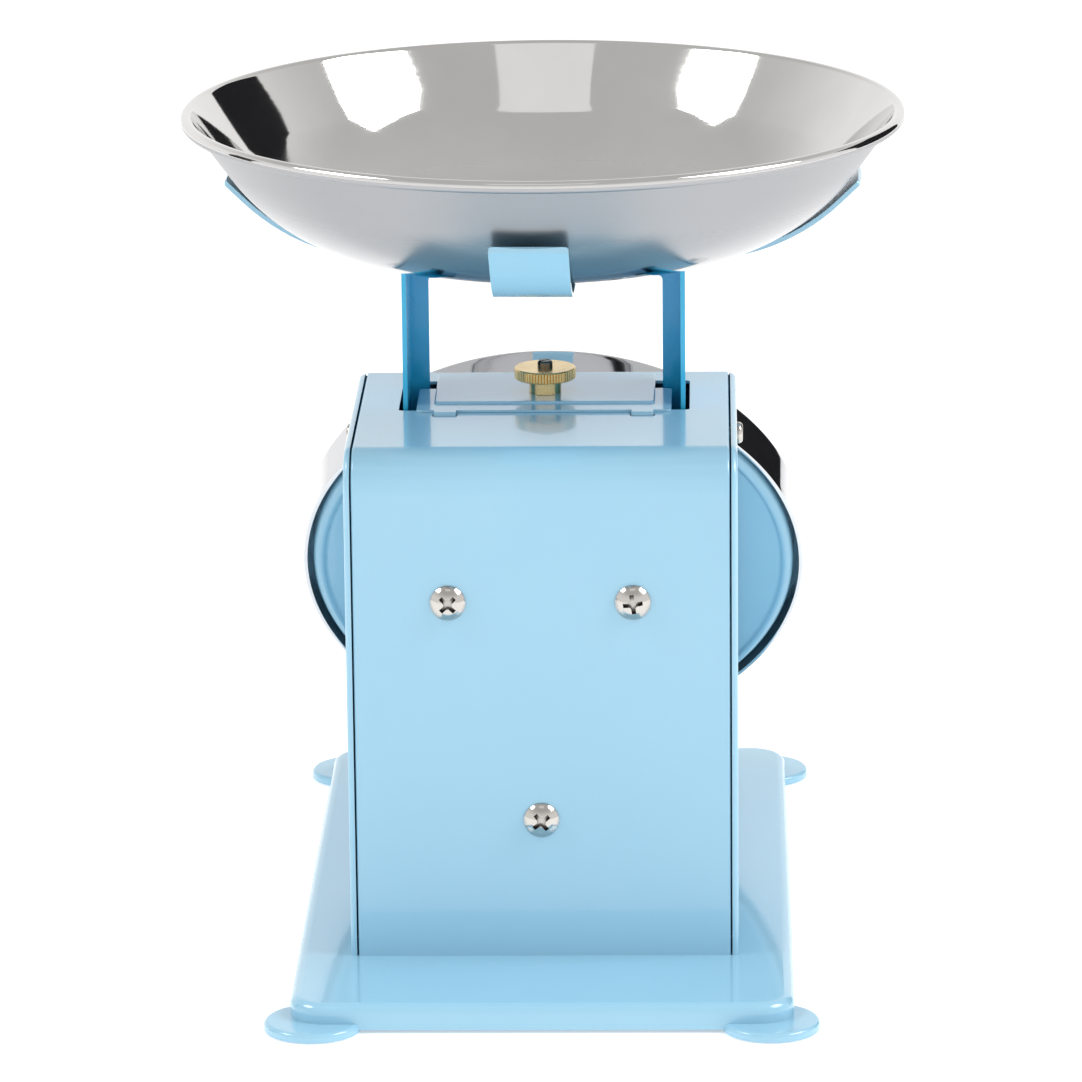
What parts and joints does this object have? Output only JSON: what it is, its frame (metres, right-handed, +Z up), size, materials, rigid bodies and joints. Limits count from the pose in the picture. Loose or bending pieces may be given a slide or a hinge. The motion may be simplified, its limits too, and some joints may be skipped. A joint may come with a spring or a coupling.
{
  "type": "kitchen scale",
  "caption": "Retro mechanical kitchen scale: enamelled housing on a wide base, sloping round dial drum, lift-off steel bowl on a four-armed support, brass zero nut.",
  "frame": {"origin": "on the floor, under the middle of the base's footprint", "axes": "+Z up, dial faces -Y, the back with the screws faces +Y, +X to the right seen from the dial side"},
  "size_m": [0.238, 0.3062, 0.2765],
  "materials": {
    "blue_paint": "glossy light-blue enamel",
    "stainless": "polished on the wall and rim, satin towards the floor",
    "chrome": "mirror",
    "nickel": "nickel plated",
    "brass": "machined, bright",
    "bright_steel": "ground steel",
    "mechanism_steel": "zinc plated sheet",
    "rack_steel": "zinc plated",
    "spring_steel": "oiled spring wire",
    "rubber": "matt",
    "dial_enamel": "cream enamel with printed scale",
    "pointer_paint": "satin black",
    "dial_glass": "clear"
  },
  "bodies": {
    "housing": {"back_screws": "nickel", "base_pan": "blue_paint", "base_screws": "nickel", "bearing_bracket": "mechanism_steel", "bezel_ring": "chrome", "bracket_screws": "nickel", "cover_side_screws": "nickel", "dial_glass": "dial_glass", "dial_plate": "dial_enamel", "dial_rivets": "nickel", "drum_case": "blue_paint", "drum_screws": "nickel", "foot_pads": "rubber", "front_bush": "brass", "housing_shell": "blue_paint", "lower_pivot_rod": "bright_steel", "main_spring_left": "spring_steel", "main_spring_right": "spring_steel", "mech_frame": "mechanism_steel", "rear_bush": "brass", "rear_cover": "blue_paint", "upper_pivot_rod": "bright_steel", "zero_bridge": "blue_paint"},
    "tray": {"tray_frame": "blue_paint", "load_bar": "mechanism_steel", "load_bar_rivets": "mechanism_steel", "rack_arm": "mechanism_steel", "rack_arm_rivets": "mechanism_steel", "rack_pin": "bright_steel", "spider": "blue_paint", "spider_rivets": "mechanism_steel"},
    "bowl": {"bowl": "stainless"},
    "zero_knob": {"zero_knob": "brass"},
    "hanger": {"spring_hanger": "mechanism_steel", "zero_screw": "bright_steel"},
    "upper_lever": {"upper_lever": "mechanism_steel", "upper_lever_pins": "bright_steel"},
    "lower_lever": {"lower_lever": "mechanism_steel", "lower_lever_pins": "bright_steel"},
    "rack": {"rack": "rack_steel"},
    "pointer": {"pointer_shaft": "bright_steel", "pinion": "brass", "pointer": "pointer_paint", "pointer_cap": "pointer_paint"}
  },
  "joints": [
    {"name": "tray_slide", "type": "slide", "parent": "housing", "child": "tray", "axis": [0, 0, 1], "range_m": [-0.0152, 0], "stiffness_N_per_m": 3227, "springref_m": 0.003, "deforming": ["main_spring_left", "main_spring_right"]},
    {"name": "bowl_lift", "type": "slide", "parent": "tray", "child": "bowl", "axis": [0, 0, 1], "range_m": [0, 0.08]},
    {"name": "knob_turn", "type": "hinge", "parent": "housing", "child": "zero_knob", "pos_m": [0, 0.0135, 0.187], "axis": [0, 0, 1], "range_deg": [-720, 720]},
    {"name": "hanger_slide", "type": "slide", "parent": "housing", "child": "hanger", "axis": [0, 0, 1], "range_m": [-0.00165, 0.00165]},
    {"name": "upper_lever_pivot", "type": "hinge", "parent": "housing", "child": "upper_lever", "pos_m": [0, 0.075, 0.115], "axis": [1, 0, 0], "range_deg": [0, 14.7]},
    {"name": "lower_lever_pivot", "type": "hinge", "parent": "housing", "child": "lower_lever", "pos_m": [0, 0.075, 0.07], "axis": [1, 0, 0], "range_deg": [0, 14.7]},
    {"name": "rack_slide", "type": "slide", "parent": "housing", "child": "rack", "axis": [0, 0.5195, 0.8545], "range_m": [-0.0179, 0]},
    {"name": "pointer_spin", "type": "hinge", "parent": "housing", "child": "pointer", "pos_m": [0, -0.06969, 0.0976], "axis": [0, -0.8545, 0.5195], "range_deg": [-341, 0]}
  ],
  "couplings": [
    {"joint": "hanger_slide", "follows": "knob_turn", "m_per_rad": 0.00012732},
    {"joint": "upper_lever_pivot", "follows": "tray_slide", "rad_per_m": -16.712},
    {"joint": "lower_lever_pivot", "follows": "tray_slide", "rad_per_m": -16.712},
    {"joint": "rack_slide", "follows": "tray_slide", "ratio": 1.1703},
    {"joint": "pointer_spin", "follows": "tray_slide", "rad_per_m": 390.11}
  ]
}
